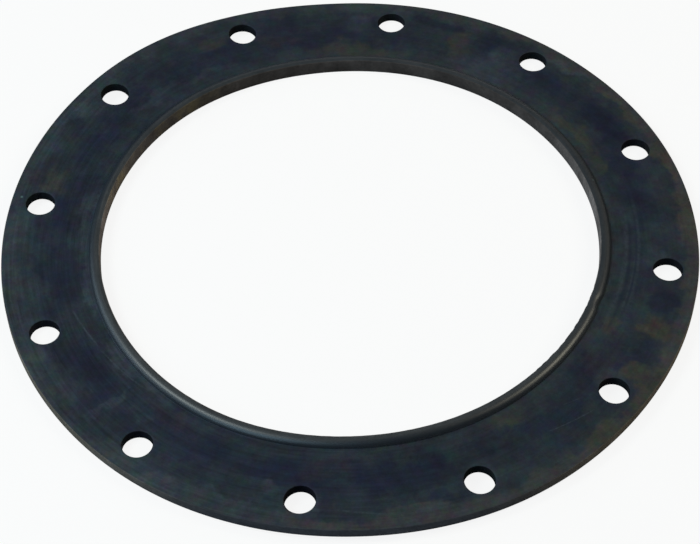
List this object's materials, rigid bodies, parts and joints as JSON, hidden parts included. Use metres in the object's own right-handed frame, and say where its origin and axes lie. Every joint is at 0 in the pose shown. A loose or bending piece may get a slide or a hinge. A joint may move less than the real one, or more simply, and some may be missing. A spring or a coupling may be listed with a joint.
{
  "type": "handhole gasket",
  "caption": "Flat moulded rubber ring gasket with evenly spaced bolt holes and a raised rounded sealing bead round its hand opening.",
  "frame": {"origin": "centre of the ring, on the flat underside", "axes": "+Z along the ring's axis, out of the beaded face; +X through the centre of one bolt hole"},
  "size_m": [0.3048, 0.3048, 0.0072],
  "materials": {
    "rubber": "satin moulded rubber, dark blue-black, with a faint cloudy bloom"
  },
  "bodies": {
    "root": {"gasket_ring": "rubber"}
  },
  "joints": []
}
